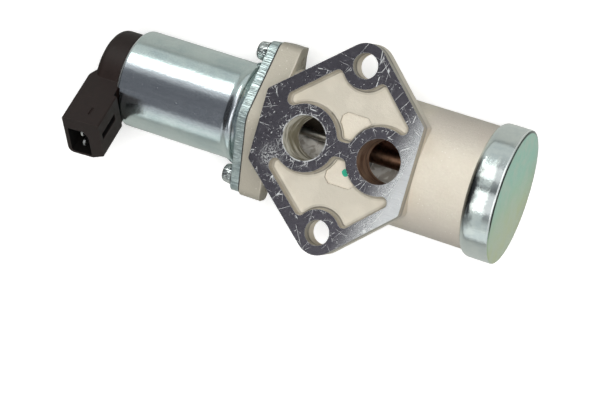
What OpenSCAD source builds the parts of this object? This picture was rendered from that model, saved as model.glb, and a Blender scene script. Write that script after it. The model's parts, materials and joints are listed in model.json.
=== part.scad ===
// Idle air control valve: a linear solenoid drives a spring-closed disc valve inside a flanged casting.
// Frame: the flange face is z = 0 and looks along +Z, the origin is midway between the two bolt holes,
// the valve's axis runs along X below the face, with the solenoid towards -X and the end cap towards +X.

/* [Mounting flange] */
// Distance between the two bolt holes
bolt_pitch = 56; // [53:0.5:62]
// Diameter of the bolt holes
bolt_hole_d = 8.4; // [6.4:0.1:9]
// Radius of the flange round each bolt hole
lobe_r = 7.4; // [6:0.1:8.5]
// Thickness of the flange
flange_t = 9; // [7.5:0.5:12]
// Distance from the middle of the ports to the flange's edge on the solenoid side
flange_left = 29.8; // [28.4:0.1:32]
// Distance from the middle of the ports to the flange's edge on the cap side
flange_right = 24.4; // [23:0.1:27]
// Half the length of the straight edge on the solenoid side
left_edge_half = 11.9; // [9:0.1:14]
// Half the length of the straight edge on the cap side
right_edge_half = 14.7; // [12:0.1:17]
// Radius of the four flange corners
flange_corner_r = 1.3; // [0.6:0.1:3]

/* [Ports] */
// Distance between the two port centres
port_pitch = 26.3; // [24:0.1:30]
// Bore of each port
port_d = 14.8; // [12:0.1:16]
// Width of the machined land round each port
land_w = 3.7; // [2.5:0.1:5]

/* [Face pockets] */
// Depth of the cored pockets in the flange face
pocket_depth = 3.6; // [2.5:0.1:5]
// Width of the machined rim between a pocket and the slanted edges
pocket_rim = 4.4; // [3:0.1:6]
// Width of the machined ring round each bolt hole
bolt_ring = 3.4; // [2.5:0.1:5]
// Width of the web that joins the two port lands
web_w = 5; // [4:0.1:8]
// Distance from the middle of the ports to a pocket's tip on the solenoid side
pocket_left = 22.4; // [19:0.1:24]
// Distance from the middle of the ports to a pocket's tip on the cap side
pocket_right = 19.9; // [17:0.1:21]
// Radius at the pockets' floor and tips
pocket_fillet = 2; // [1:0.1:2.2]
// Depth of the small recessed pad between the port lands
pad_depth = 0.9; // [0.3:0.1:1.2]
// Reach of the pad from the middle of the ports
pad_reach = 12; // [10:0.1:14]

/* [Barrel] */
// Depth of the valve's axis under the flange face
axis_depth = 25.5; // [25:0.1:30]
// Outside diameter of the barrel
barrel_d = 42.2; // [40:0.1:44]
// How much the barrel is necked in beside the end flange
neck_step = 1.5; // [0.5:0.1:3]
// Length of that neck
neck_len = 3; // [1:0.5:6]
// Distance from the middle of the ports to the barrel's open end
barrel_reach = 51.8; // [51:0.1:60]
// Bore of the front chamber, under the port next to the solenoid
front_bore_d = 19.6; // [18:0.1:21]
// Bore of the middle chamber, under the port next to the cap
middle_bore_d = 24.4; // [23:0.1:27]
// Bore of the spring chamber, under the cap
rear_bore_d = 33.2; // [30:0.1:35]
// Room between the shaft's end and the cap
shaft_end_room = 3.7; // [3:0.1:8]

/* [Solenoid joint] */
// Distance from the middle of the ports to the casting's joint face
joint_reach = 36.2; // [34:0.1:40]
// Thickness of the casting's end flange
end_flange_t = 7.9; // [6.5:0.1:9]
// How much thinner the end flange is at its far side, where the mould draws
end_flange_draft = 3.6; // [1:0.1:4]
// How far the oval plate stands out past the can's shoulder at its middle
oval_mid_margin = 0.6; // [0.3:0.1:2]
// Distance from the screws' axes to the oval plate's ends
oval_end_margin = 4.5; // [4.2:0.1:7]
// Width of the oval plate at its ends
oval_end_w = 16.4; // [12:0.1:19]
// Corner radius of the oval plate
oval_corner_r = 3.5; // [2:0.1:4]
// How far the casting's end flange stands out past the plate
casting_margin = 0.7; // [0.2:0.1:1.5]
// Thickness of the steel mounting plate
plate_t = 3; // [2.5:0.1:5]
// Thickness of the joint gasket
gasket_t = 0.7; // [0.2:0.1:1]
// Wall between the joint face and the front chamber
front_wall = 6.7; // [6.2:0.1:8]

/* [Housing screws] */
// Distance from the can's shoulder to the screws' axes
screw_offset = 3.6; // [3.2:0.1:5]
// Thread diameter of the housing screws
screw_d = 4; // [3.5:0.1:4.6]
// Diameter of the pan heads
head_d = 7.3; // [6.8:0.1:8]
// Height of the pan heads
head_h = 2.8; // [2:0.1:3.5]
// Thickness of the spring washers
spring_washer_t = 1.1; // [0.8:0.1:1.4]
// Thickness of the plain washers
plain_washer_t = 0.8; // [0.5:0.1:1.2]
// Length of the screws under the head
screw_len = 12; // [10:0.5:13]

/* [Solenoid can] */
// Outside diameter of the can
can_d = 34; // [33:0.1:35]
// Wall of the can
can_wall = 1.2; // [0.8:0.1:1.6]
// Length of the can from the mounting plate to its crimped rim
can_len = 46.4; // [43:0.1:60]
// Thickness of the can's own oval foot
can_foot_t = 1.6; // [1:0.1:2.5]
// How far the shoulder over the foot stands out from the can
shoulder_step = 1.1; // [0.8:0.1:1.5]
// Thickness of the crimped lip
lip_t = 1; // [0.6:0.1:1.5]
// Reach of the crimped lip over the moulded base
lip_w = 0.9; // [0.5:0.1:1.2]

/* [Coil] */
// Thickness of the moulded base under the lip
base_t = 2; // [1.8:0.1:3]
// Thickness of the flux washer
flux_t = 2.8; // [2:0.1:4]
// Length of the plate's pilot inside the can
pilot_len = 8; // [5:0.1:10]
// Thickness of the bobbin's flanges and hub
bobbin_wall = 1.2; // [0.8:0.1:1.6]
// Gap between the winding and the can
winding_gap = 1.6; // [0.8:0.1:3]
// Gap between the bobbin and the can
bobbin_gap = 0.4; // [0.2:0.1:0.8]
// Wall of the guide tube
tube_wall = 0.6; // [0.4:0.1:1]
// Inside diameter of the guide tube
tube_d = 13.4; // [12:0.1:14]

/* [Plunger] */
// Diameter of the steel shaft
shaft_d = 3; // [2.5:0.1:4]
// Travel of the plunger
stroke = 3.5; // [2:0.1:4]
// Length of the armature
armature_len = 18; // [15:0.1:20]
// Gap left between the armature and the pole piece at full travel
pole_gap = 0.3; // [0.2:0.1:0.8]
// Depth of the pole piece's conical mouth
cone_depth = 3; // [2:0.1:4]
// Distance from the plate's outer face back to the armature
armature_setback = 1.6; // [1:0.1:3]
// Radial running clearance of the shaft, the sleeve and the armature
running_gap = 0.05; // [0.02:0.01:0.1]
// Diameter of the valve disc
valve_disc_d = 16.4; // [14.6:0.1:17.4]
// Thickness of the valve disc at its hub
valve_disc_t = 2.2; // [2:0.1:4]
// Gap between the valve disc and its seat at rest
seat_gap = 0.2; // [0.1:0.05:0.4]
// Diameter of the bronze sleeve
sleeve_d = 6.5; // [5.5:0.1:7.5]

/* [Valve seat] */
// Distance from the middle of the ports to the seat face, towards the solenoid
seat_offset = 4; // [3:0.1:5]
// Thickness of the seat insert
seat_t = 4.5; // [3:0.1:5.5]
// Bore of the seat insert
seat_bore_d = 13.2; // [11:0.1:14]

/* [Return spring] */
// Length of the spring at rest
spring_len = 16; // [13:0.1:17]
// Diameter of the spring wire
wire_d = 1.2; // [0.8:0.1:1.5]
// Mean diameter of the spring
spring_mean_d = 16; // [15:0.1:18]
// Number of turns
spring_turns = 5.5; // [4.5:0.5:6.5]
// Thickness of the spring's seat
spring_seat_t = 1.5; // [1:0.1:2.5]

/* [End cap] */
// Outside diameter of the cap
cap_d = 45.6; // [45:0.1:47]
// Sheet thickness of the cap
cap_t = 1.2; // [0.8:0.1:1.5]
// Length of the cap over the barrel and past it
cap_len = 10.4; // [8.6:0.1:12]
// Radius of the edge between the cap's skirt and its face
cap_edge_r = 0.7; // [0.4:0.1:2]
// Radius of the skirt's rolled-in end
cap_lead_r = 3; // [2:0.1:3.6]

/* [Connector] */
// Gap between the moulded drum and the can's bore
drum_gap = 1.1; // [1:0.1:2]
// How far the drum stands out of the can
drum_len = 10.1; // [8:0.1:13]
// Angle of the socket above the flange plane
socket_clock = 43; // [30:1:60]
// Lean of the socket towards the can
socket_slant = 3.5; // [0:0.5:4]
// Width of the shroud along the valve's axis
shroud_w = 13.7; // [12.5:0.1:14.4]
// Height of the shroud across the valve's axis
shroud_h = 17.6; // [16.5:0.1:19]
// Distance from the valve's axis to the shroud's mouth
socket_reach = 32.4; // [28:0.1:36]
// Width of the socket's opening
socket_w = 7.6; // [7:0.1:8.4]
// Height of the socket's opening
socket_h = 11.6; // [11:0.1:12.6]
// Depth of the socket
socket_depth = 12.5; // [9:0.1:14]
// Distance between the two terminal blades
pin_pitch = 5; // [4.4:0.1:5.6]
// Width of a terminal blade
pin_w = 2.8; // [2:0.1:3]
// Thickness of a terminal blade
pin_t = 0.8; // [0.6:0.1:1.2]
// How far the blades' tips lie inside the mouth
pin_recess = 2.2; // [1.5:0.1:4]

/* [Hidden] */
$fn = 64;
eps = 0.01;
belt_hair = 0.02;
draft_start = 10;
draft_end = 9;
pad_left = 4;
pad_right = 6.4;
pad_corner = 1.6;

// Stations along the valve's axis, from the casting's joint face towards the connector
joint_x = -joint_reach;
plate_x1 = joint_x - gasket_t;
plate_x0 = plate_x1 - plate_t;
foot_x0 = plate_x0 - can_foot_t;
can_x0 = plate_x0 - can_len;
base_x0 = can_x0 + lip_t;
flux_x0 = base_x0 + base_t;
bobbin_x0 = flux_x0 + flux_t;
bobbin_x1 = plate_x0 - pilot_len;
drum_x0 = can_x0 - drum_len;

// Stations inside the casting, from the joint face towards the cap
bush_seat_depth = 3;
bush_setback = 1;
bush_x0 = joint_x + bush_seat_depth;
front_x0 = joint_x + front_wall;
seat_x0 = -seat_offset;
seat_x1 = seat_x0 + seat_t;
nut_t = 2.4;
nut_across_flats = 5.5;
shaft_tail = 1.2;
guide_t = 3;
guide_hub_len = 4;
shaft_x1 = barrel_reach - shaft_end_room;
spring_seat_x1 = shaft_x1 - shaft_tail - nut_t;
spring_seat_x0 = spring_seat_x1 - spring_seat_t;
guide_x1 = spring_seat_x0 - spring_len;
step_x = guide_x1 - guide_t;

// Plunger
armature_x1 = plate_x0 - armature_setback;
armature_x0 = armature_x1 - armature_len;
pole_x1 = armature_x0 + cone_depth - stroke - pole_gap;
disc_x1 = seat_x0 - seat_gap;
disc_x0 = disc_x1 - valve_disc_t;
collar_len = 1.8;
collar_step = 1.3;
collar_d = shaft_d + 2 * collar_step;
shaft_chamfer = 0.4;
disc_edge_t = 1.1;
disc_hub = 1.6;
mouth_lip = 0.8;
armature_chamfer = 0.6;
shaft_in_armature = 12;

// Radii shared by pieces that fit each other
rim_r = 1.5;
bead_r = 1.1;
flare_len = 3.2;
can_bore_r = can_d / 2 - can_wall;
shoulder_r = can_d / 2 + shoulder_step;
winding_r = can_bore_r - winding_gap;
drum_r = can_bore_r - drum_gap;
screw_r = shoulder_r + screw_offset;
oval_mid_r = shoulder_r + oval_mid_margin;
oval_half_len = screw_r + oval_end_margin;
oval_nose_r = 6;
tube_r = tube_d / 2;
tube_outer_r = tube_r + tube_wall;
bobbin_hub_r = tube_outer_r + bobbin_wall;
bush_wall = 2.4;
bush_collar = 1.6;
bush_r = shaft_d / 2 + bush_wall;
bush_collar_r = bush_r + bush_collar;
rear_bush_wall = 1.4;
guide_hub_wall = 1.2;
rear_bush_r = sleeve_d / 2 + rear_bush_wall;
guide_hub_r = rear_bush_r + guide_hub_wall;
spring_seat_rim = 1.2;
spring_seat_r = (spring_mean_d + wire_d) / 2 + spring_seat_rim;
washer_rim = 0.45;
plain_washer_d = head_d + 2 * washer_rim;
washer_room = 0.1;
oring_cord = 1.8;
tube_groove_r = tube_outer_r + oring_cord;
tube_groove_depth = 2.2;

// Cap
cap_x1 = barrel_reach + cap_t;
cap_x0 = cap_x1 - cap_len;
cap_bore_r = cap_d / 2 - cap_t;
cap_slip = 0.05;
cap_oring_cord = 1.9;
cap_oring_x = cap_x1 - cap_t - cap_oring_cord - 1.2;
barrel_r = barrel_d / 2;
barrel_chamfer = 0.8;
neck_r = barrel_r - neck_step;

// Connector
socket_setback = 5.8;
socket_x = can_x0 - socket_setback;
socket_shift = -1.7;
socket_drop = -2.25;
pin_drop = -3.25;
shroud_back = 11.9;
heel_w = 3.4;
heel_h = 5.6;
can_gap = 0.9;
leg_depth = 9.4;
leg_t = 1.2;
drum_edge_r = 2.6;
latch_depth = 2.2;
latch_rim = 1.5;
latch_w = 3;
latch_len = 9.8;
mark_depth = 0.6;
mark_shift = 1.1;
mark_rim = 3.9;
mark_w = 0.9;
mark_len = 3.4;
notch_side = 0.5;
notch_depth = 1.7;
shroud_foot = (can_x0 + notch_depth - can_gap - socket_x - can_d / 2 * sin(socket_slant)) / cos(socket_slant);
housing_cord = 1.2;

// Points of an arc with radius r round c, from angle a0 to a1
function arc(c, r, a0, a1, n = 8) =
    [for (i = [0:n]) c + r * [cos(a0 + (a1 - a0) * i / n), sin(a0 + (a1 - a0) * i / n)]];

// The two ends of the outer tangent from circle a to circle b, each [x, y, r], taken anticlockwise
function tangent_ends(a, b) =
    let (
        d = [b[0] - a[0], b[1] - a[1]],
        u = d / norm(d),
        s = (a[2] - b[2]) / norm(d),
        m = [u[1], -u[0]] * sqrt(1 - s * s) + u * s
    )
    [[a[0], a[1]] + a[2] * m, [b[0], b[1]] + b[2] * m];

// The closed outline round circles that are listed anticlockwise as [x, y, r].
// The circles are a hair smaller than the arcs they fill, so that no line touches a circle at a tangent.
module belt(circles) {
    n = len(circles);
    polygon([for (i = [0:n - 1]) each tangent_ends(circles[i], circles[(i + 1) % n])]);
    for (c = circles) translate([c[0], c[1]]) circle(c[2] - belt_hair);
}

// Turns the local Z axis onto the valve's axis
module on_axis() {
    translate([0, 0, -axis_depth]) rotate([0, 90, 0]) children();
}

// A turned solid from a profile of [radius, position along the axis] points
module turned(profile) {
    on_axis() rotate_extrude() polygon(profile);
}

// A ring or disc on the valve's axis between two stations
module ring(x0, x1, outer_r, inner_r = 0) {
    turned([[inner_r, x0], [outer_r, x0], [outer_r, x1], [inner_r, x1]]);
}

// A round seal on the valve's axis
module seal_ring(x, mean_r, cord) {
    on_axis() translate([0, 0, x]) rotate_extrude() translate([mean_r, 0]) circle(cord / 2, $fn = 24);
}

// A plate across the valve's axis between two stations
module cross_plate(x0, x1) {
    on_axis() translate([0, 0, x0]) linear_extrude(x1 - x0) children();
}

// Places its children at both housing screws, with local Z towards the casting
module at_screws() {
    for (side = [-1, 1]) on_axis() translate([0, side * screw_r, 0]) children();
}

module flange_outline() {
    r = flange_corner_r;
    k = r * 0.42;
    belt([
        [flange_right - r, -right_edge_half + k, r],
        [flange_right - r, right_edge_half - k, r],
        [0, bolt_pitch / 2, lobe_r],
        [-flange_left + r, left_edge_half - k, r],
        [-flange_left + r, -left_edge_half + k, r],
        [0, -bolt_pitch / 2, lobe_r]
    ]);
}

// The oval of the mounting plate, grown or shrunk by a margin
module oval(margin = 0) {
    r = oval_corner_r;
    y = oval_half_len - r;
    x = oval_end_w / 2 - r;
    belt([
        [oval_mid_r - oval_nose_r, 0, oval_nose_r + margin],
        [x, y, r + margin],
        [-x, y, r + margin],
        [-oval_mid_r + oval_nose_r, 0, oval_nose_r + margin],
        [-x, -y, r + margin],
        [x, -y, r + margin]
    ]);
}

// One face pocket before its edges are rounded
module pocket_outline() {
    difference() {
        intersection() {
            offset(delta = -pocket_rim) flange_outline();
            translate([-pocket_left, 0]) square([pocket_left + pocket_right, bolt_pitch]);
        }
        for (side = [-1, 1]) translate([side * port_pitch / 2, 0]) circle(port_d / 2 + land_w);
        translate([0, bolt_pitch / 2]) circle(bolt_hole_d / 2 + bolt_ring);
        square([port_pitch, web_w], center = true);
    }
}

// The core that leaves one pocket, with a rounded floor
module pocket_core() {
    r = pocket_fillet;
    minkowski() {
        translate([0, 0, r - pocket_depth])
            linear_extrude(pocket_depth) offset(delta = -r) pocket_outline($fn = 40);
        sphere(r, $fn = 16);
    }
}

// The shallow recess in the pocket's floor between the port lands
module pad_core() {
    translate([0, 0, -pocket_depth - pad_depth]) linear_extrude(pad_depth + 0.5) intersection() {
        offset(delta = -1.2) pocket_outline($fn = 40);
        polygon([
            [-pad_left, 0], [-pad_left, pad_reach - pad_corner], [-pad_left + pad_corner, pad_reach],
            [pad_right - pad_corner, pad_reach], [pad_right, pad_reach - pad_corner], [pad_right, 0]
        ]);
    }
}

module valve_body() {
    flange_back = end_flange_t - joint_reach;
    color([0.84, 0.81, 0.75]) difference() {
        union() {
            translate([0, 0, -flange_t]) linear_extrude(flange_t) flange_outline();
            turned([
                [0, flange_back - 1], [neck_r, flange_back - 1], [neck_r, flange_back + neck_len],
                [barrel_r, flange_back + neck_len + barrel_r - neck_r], [barrel_r, barrel_reach - barrel_chamfer],
                [barrel_r - barrel_chamfer, barrel_reach], [0, barrel_reach]
            ]);
            intersection() {
                cross_plate(joint_x, flange_back) oval(casting_margin);
                rotate([90, 0, 0]) translate([0, 0, -bolt_pitch]) linear_extrude(2 * bolt_pitch) polygon([
                    [joint_x - 1, 0], [flange_back, 0], [flange_back, draft_start - axis_depth],
                    [flange_back - end_flange_draft * 0.36, -axis_depth],
                    [flange_back - end_flange_draft, -draft_end - axis_depth],
                    [flange_back - end_flange_draft, -2 * axis_depth], [joint_x - 1, -2 * axis_depth]
                ]);
            }
        }
        for (side = [-1, 1]) {
            translate([0, side * bolt_pitch / 2, -flange_t - 1]) cylinder(h = flange_t + 2, d = bolt_hole_d);
            translate([side * port_pitch / 2, 0, -axis_depth]) cylinder(h = axis_depth + 1, d = port_d);
        }
        turned([
            [0, front_x0], [front_bore_d / 2, front_x0], [front_bore_d / 2, seat_x0], [middle_bore_d / 2, seat_x0],
            [middle_bore_d / 2, step_x], [rear_bore_d / 2, step_x], [rear_bore_d / 2, barrel_reach + 1],
            [0, barrel_reach + 1]
        ]);
        turned([
            [0, joint_x - 1], [tube_groove_r, joint_x - 1], [tube_groove_r, joint_x + tube_groove_depth],
            [tube_outer_r, joint_x + tube_groove_depth], [tube_outer_r, bush_x0], [bush_r, bush_x0],
            [bush_r, front_x0 + 1], [0, front_x0 + 1]
        ]);
        ring(cap_oring_x - 1.2, cap_oring_x + 1.2, barrel_r + 1, cap_bore_r - cap_oring_cord);
        at_screws() translate([0, 0, joint_x - 1]) cylinder(h = end_flange_t + 2, d = screw_d);
        for (side = [0, 1]) mirror([0, side, 0]) {
            pocket_core();
            pad_core();
        }
    }
}

module seat_insert() {
    color([0.72, 0.72, 0.7]) turned([
        [seat_bore_d / 2, seat_x0], [middle_bore_d / 2, seat_x0], [middle_bore_d / 2, seat_x1],
        [seat_bore_d / 2 + 1.2, seat_x1], [seat_bore_d / 2, seat_x1 - 1.2]
    ]);
}

module front_bush() {
    bore_r = shaft_d / 2 + running_gap;
    color([0.72, 0.55, 0.3]) turned([
        [bore_r, joint_x + bush_setback], [bush_collar_r, joint_x + bush_setback], [bush_collar_r, bush_x0],
        [bush_r, bush_x0], [bush_r, front_x0], [bore_r, front_x0]
    ]);
}

module rear_guide() {
    color([0.66, 0.67, 0.68]) turned([
        [rear_bush_r, step_x], [rear_bore_d / 2, step_x], [rear_bore_d / 2, guide_x1], [guide_hub_r, guide_x1],
        [guide_hub_r, guide_x1 + guide_hub_len], [rear_bush_r, guide_x1 + guide_hub_len]
    ]);
}

module rear_bush() {
    color([0.72, 0.55, 0.3]) ring(step_x, guide_x1 + guide_hub_len, rear_bush_r, sleeve_d / 2 + running_gap);
}

module end_cap() {
    r = cap_d / 2;
    lead = cap_lead_r;
    lead_turn = acos(1 - (r - barrel_r - cap_slip) / lead);
    lead_x = cap_x0 + lead * sin(lead_turn);
    outside = concat(
        arc([r - lead, lead_x], lead, -lead_turn, 0),
        arc([r - cap_edge_r, cap_x1 - cap_edge_r], cap_edge_r, 0, 90, 6),
        [[0, cap_x1]]
    );
    inside = [
        [0, barrel_reach], [cap_bore_r - cap_edge_r, barrel_reach], [cap_bore_r, barrel_reach - cap_edge_r],
        [cap_bore_r, lead_x], [barrel_r + cap_slip, cap_x0 + cap_t]
    ];
    color([0.72, 0.78, 0.76]) turned(concat(outside, inside));
}

module cap_oring() {
    color([0.1, 0.1, 0.1]) seal_ring(cap_oring_x, cap_bore_r - cap_oring_cord / 2, cap_oring_cord);
}

module plate_gasket() {
    color([0.13, 0.13, 0.13]) difference() {
        cross_plate(plate_x1, joint_x) oval();
        ring(plate_x1 - 1, joint_x + 1, tube_groove_r);
        at_screws() translate([0, 0, plate_x1 - 1]) cylinder(h = gasket_t + 2, d = screw_d + 0.5);
    }
}

module mounting_plate() {
    color([0.7, 0.76, 0.75]) difference() {
        union() {
            cross_plate(plate_x0, plate_x1) oval();
            ring(bobbin_x1, plate_x0 + eps, can_bore_r);
        }
        ring(bobbin_x1 - 1, plate_x1 + 1, tube_outer_r);
        at_screws() translate([0, 0, plate_x0 - 1]) cylinder(h = plate_t + 2, d = screw_d + 0.5);
    }
}

module solenoid_can() {
    r = can_d / 2;
    bead_x = foot_x0 - bead_r;
    flare_x = bead_x - flare_len;
    skin = concat(
        [[can_bore_r - lip_w, can_x0]],
        arc([r - rim_r, can_x0 + rim_r], rim_r, -90, 0, 6),
        [for (t = [0:0.1:1]) [r + shoulder_step * (3 - 2 * t) * t * t, flare_x + flare_len * t]],
        arc([shoulder_r - bead_r, bead_x], bead_r, 20, 80, 4),
        [[shoulder_r - bead_r, foot_x0], [shoulder_r - bead_r, plate_x0], [can_bore_r, plate_x0],
         [can_bore_r, base_x0], [can_bore_r - lip_w, base_x0]]
    );
    color([0.72, 0.79, 0.79]) difference() {
        union() {
            turned(skin);
            difference() {
                cross_plate(foot_x0, plate_x0) oval(-1);
                ring(foot_x0 - 1, plate_x0 + 1, can_bore_r);
                at_screws() translate([0, 0, foot_x0 - 1]) cylinder(h = can_foot_t + 2, d = screw_d + 0.5);
            }
        }
        at_socket_square() translate([-drum_len, -shroud_h / 2 - notch_side, 0])
            cube([drum_len + notch_depth + can_x0 - socket_x, shroud_h + 2 * notch_side, can_d]);
        // The shoulder stands back from the washers
        at_screws() translate([0, 0, flare_x]) cylinder(h = bead_r + flare_len, d = plain_washer_d + 2 * washer_room);
    }
}

module flux_washer() {
    color([0.6, 0.61, 0.62]) difference() {
        ring(flux_x0, bobbin_x0, can_bore_r, tube_r);
        terminal_legs(0.3);
    }
}

module pole_piece() {
    mouth_r = tube_r - mouth_lip;
    color([0.62, 0.63, 0.64]) turned([
        [0, flux_x0], [tube_r, flux_x0], [tube_r, pole_x1], [mouth_r, pole_x1],
        [mouth_r - cone_depth * 0.66, pole_x1 - cone_depth], [0, pole_x1 - cone_depth]
    ]);
}

module guide_tube() {
    color([0.76, 0.74, 0.68]) ring(bobbin_x0, bush_x0, tube_outer_r, tube_r);
}

module tube_oring() {
    color([0.1, 0.1, 0.1]) seal_ring(joint_x + tube_groove_depth / 2, tube_outer_r + oring_cord / 2, oring_cord);
}

module coil_bobbin() {
    outer = can_bore_r - bobbin_gap;
    color([0.82, 0.8, 0.72]) turned([
        [tube_outer_r, bobbin_x0], [outer, bobbin_x0], [outer, bobbin_x0 + bobbin_wall],
        [bobbin_hub_r, bobbin_x0 + bobbin_wall], [bobbin_hub_r, bobbin_x1 - bobbin_wall],
        [outer, bobbin_x1 - bobbin_wall], [outer, bobbin_x1], [tube_outer_r, bobbin_x1]
    ]);
}

module coil_winding() {
    color([0.72, 0.4, 0.2]) ring(bobbin_x0 + bobbin_wall, bobbin_x1 - bobbin_wall, winding_r, bobbin_hub_r);
}

// Places its children across the valve's axis in the socket's direction: local X along the axis, local Z outwards
module at_socket_square() {
    translate([socket_x, 0, -axis_depth]) rotate([90 - socket_clock, 0, 0]) children();
}

// The same, leaning with the socket
module at_socket() {
    at_socket_square() rotate([0, socket_slant, 0]) children();
}

// The two legs that carry the terminals through the base to the coil
module terminal_legs(grow = 0) {
    for (side = [-1, 1])
        at_socket_square()
            translate([socket_shift - grow, pin_drop + side * pin_pitch / 2 - pin_w / 2 - grow, leg_depth - grow])
                cube([bobbin_x0 - socket_x - socket_shift + 2 * grow, pin_w + 2 * grow, leg_t + 2 * grow]);
}

// The two blades, from their legs to their chamfered tips
module terminal_blades() {
    tip = socket_reach - pin_recess;
    nose = 0.7;
    for (side = [-1, 1])
        at_socket()
            translate([socket_shift - pin_t / 2, pin_drop + side * pin_pitch / 2, 0])
                rotate([90, 0, 90]) linear_extrude(pin_t) polygon([
                    [-pin_w / 2, leg_depth], [pin_w / 2, leg_depth], [pin_w / 2, tip - nose],
                    [pin_w / 2 - nose, tip], [-pin_w / 2 + nose, tip], [-pin_w / 2, tip - nose]
                ]);
}

module terminal_pins() {
    color([0.85, 0.85, 0.83]) union() {
        terminal_legs();
        terminal_blades();
    }
}

module shroud_outline() {
    w = shroud_w / 2;
    h = shroud_h / 2;
    belt([
        [-w + 2.2, -h + 2.2, 2.2], [2.2, -h + 0.6, 0.6], [w - 0.6, -h + 2.6, 0.6],
        [w - 0.6, h - 0.6, 0.6], [-w + 0.6, h - 0.6, 0.6]
    ]);
}

module socket_outline() {
    w = socket_w / 2;
    h = socket_h / 2;
    translate([socket_shift, socket_drop]) belt([
        [-w + 1, -h + 1, 1], [w - 0.4, -h + 0.4, 0.4], [w - 0.4, h - 2.6, 0.4],
        [w - 2, h - 0.4, 0.4], [-w + 0.4, h - 0.4, 0.4]
    ]);
}

module connector_housing() {
    base_r = can_bore_r;
    color([0.14, 0.12, 0.12]) difference() {
        union() {
            turned(concat(
                [[0, drum_x0]],
                arc([drum_r - drum_edge_r, drum_x0 + drum_edge_r], drum_edge_r, -90, 0, 6),
                [[drum_r, base_x0], [base_r, base_x0], [base_r, flux_x0 - housing_cord],
                 [base_r - housing_cord, flux_x0 - housing_cord], [base_r - housing_cord, flux_x0], [0, flux_x0]]
            ));
            intersection() {
                at_socket() linear_extrude(socket_reach) shroud_outline();
                at_socket() rotate([90, 0, 0]) translate([0, 0, -shroud_h]) linear_extrude(2 * shroud_h) polygon([
                    [shroud_foot, 2], [shroud_foot, can_d / 2 + can_gap], [shroud_w, can_d / 2 + can_gap],
                    [shroud_w, socket_reach + 1], [-shroud_w, socket_reach + 1],
                    [-shroud_w, shroud_back + shroud_w / 2], [-shroud_w / 2, shroud_back],
                    [-shroud_w / 2 + heel_w, shroud_back - heel_h], [-shroud_w / 2 + heel_w, 2]
                ]);
            }
        }
        at_socket() translate([0, 0, socket_reach - socket_depth]) linear_extrude(socket_depth + 1) socket_outline();
        // Latch slot on the side that faces the can
        at_socket() translate([shroud_w / 2 - latch_depth, 0.4, socket_reach - latch_rim - latch_len])
            cube([2 * latch_depth, latch_w, latch_len]);
        // Small moulded mark on the front
        at_socket() translate([mark_shift, shroud_h / 2 - mark_depth, socket_reach - mark_rim - mark_len])
            cube([mark_w, 2 * mark_depth, mark_len]);
        terminal_legs();
        terminal_blades();
    }
}

module housing_oring() {
    color([0.1, 0.1, 0.1])
        seal_ring(flux_x0 - housing_cord / 2, can_bore_r - housing_cord / 2, housing_cord);
}

module housing_screws() {
    under_head = foot_x0 - plain_washer_t - spring_washer_t;
    crown = head_h * 0.35;
    color([0.7, 0.72, 0.72]) at_screws() difference() {
        rotate_extrude() polygon(concat(
            [[0, under_head - head_h]],
            arc([head_d / 2 - crown - 0.4, under_head - head_h + crown], crown, -90, 0, 5),
            [[head_d / 2, under_head], [screw_d / 2, under_head], [screw_d / 2, under_head + screw_len - 0.5],
             [screw_d / 2 - 0.5, under_head + screw_len], [0, under_head + screw_len]]
        ));
        for (turn = [0, 90]) rotate([0, 0, turn])
            translate([-head_d * 0.28, -0.5, under_head - head_h - 1]) cube([head_d * 0.56, 1, 1 + head_h * 0.55]);
    }
}

module spring_washers() {
    color([0.62, 0.64, 0.64]) at_screws() translate([0, 0, foot_x0 - plain_washer_t - spring_washer_t]) difference() {
        cylinder(h = spring_washer_t, d = head_d - 0.3);
        translate([0, 0, -1]) cylinder(h = spring_washer_t + 2, d = screw_d + 0.3);
        rotate([0, 0, 30]) translate([0, -0.35, -1]) cube([head_d, 0.7, spring_washer_t + 2]);
    }
}

module plain_washers() {
    color([0.7, 0.72, 0.72]) at_screws() translate([0, 0, foot_x0 - plain_washer_t]) difference() {
        cylinder(h = plain_washer_t, d = plain_washer_d);
        translate([0, 0, -1]) cylinder(h = plain_washer_t + 2, d = screw_d + 0.3);
    }
}

module armature() {
    body_r = tube_r - running_gap;
    nose_r = tube_r - mouth_lip - pole_gap;
    blind_x = armature_x1 - shaft_in_armature;
    color([0.66, 0.67, 0.68]) turned([
        [0, armature_x0], [nose_r - cone_depth * 0.66, armature_x0], [nose_r, armature_x0 + cone_depth],
        [body_r, armature_x0 + cone_depth], [body_r, armature_x1 - armature_chamfer],
        [body_r - armature_chamfer, armature_x1],
        [shaft_d / 2, armature_x1], [shaft_d / 2, blind_x], [0, blind_x]
    ]);
}

module valve_shaft() {
    r = shaft_d / 2;
    tail_x = shaft_x1;
    color([0.78, 0.79, 0.8]) turned([
        [0, armature_x1 - shaft_in_armature], [r, armature_x1 - shaft_in_armature], [r, disc_x0 - collar_len],
        [collar_d / 2, disc_x0 - collar_len], [collar_d / 2, disc_x0], [r, disc_x0],
        [r, tail_x - shaft_chamfer], [r - shaft_chamfer, tail_x], [0, tail_x]
    ]);
}

module valve_disc() {
    r = valve_disc_d / 2;
    color([0.68, 0.69, 0.7]) turned([
        [shaft_d / 2, disc_x0], [collar_d / 2 + disc_hub, disc_x0], [r, disc_x1 - disc_edge_t], [r, disc_x1],
        [shaft_d / 2, disc_x1]
    ]);
}

module guide_sleeve() {
    color([0.62, 0.36, 0.22]) ring(disc_x1, spring_seat_x0, sleeve_d / 2, shaft_d / 2);
}

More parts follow.
